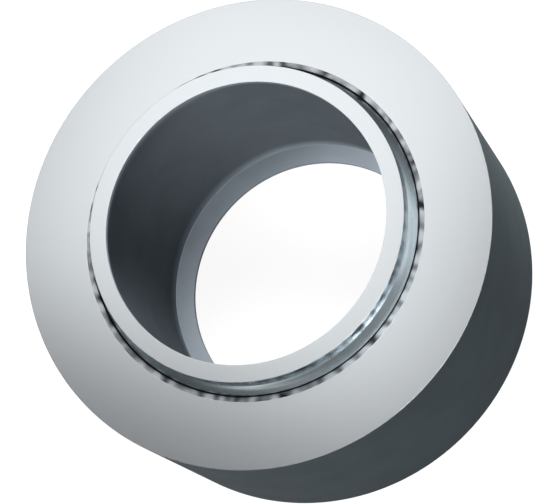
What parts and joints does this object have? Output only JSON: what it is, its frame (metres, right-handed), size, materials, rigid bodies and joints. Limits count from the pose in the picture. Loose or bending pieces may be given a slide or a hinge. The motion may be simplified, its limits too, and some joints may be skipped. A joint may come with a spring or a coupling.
{
  "type": "spherical plain bearing",
  "caption": "Radial spherical plain bearing: a lined outer ring tilts on the ball of a hollow inner ring, whose shoulders stand out on both sides.",
  "frame": {"origin": "centre of the ball, on the bore's axis and midway between the end faces", "axes": "+Z along the bore; the bearing lies flat on the lower end face of its inner ring"},
  "size_m": [0.042, 0.042, 0.025],
  "materials": {
    "outer_ring_steel": "ground end faces and a dark smooth outside",
    "liner_fabric": "woven sliding fabric in dark resin, cut level with the ring",
    "inner_ring_steel": "polished ball and shoulders, ground end faces, smooth dark bore"
  },
  "bodies": {
    "inner": {"inner_ring": "inner_ring_steel"},
    "outer": {"outer_ring": "outer_ring_steel", "sliding_liner": "liner_fabric"}
  },
  "joints": [
    {"name": "outer_ring_tilt", "type": "hinge", "parent": "inner", "child": "outer", "pos_m": [0, 0, 0], "axis": [1, 0, 0], "range_deg": [-3.5, 3.5]}
  ]
}
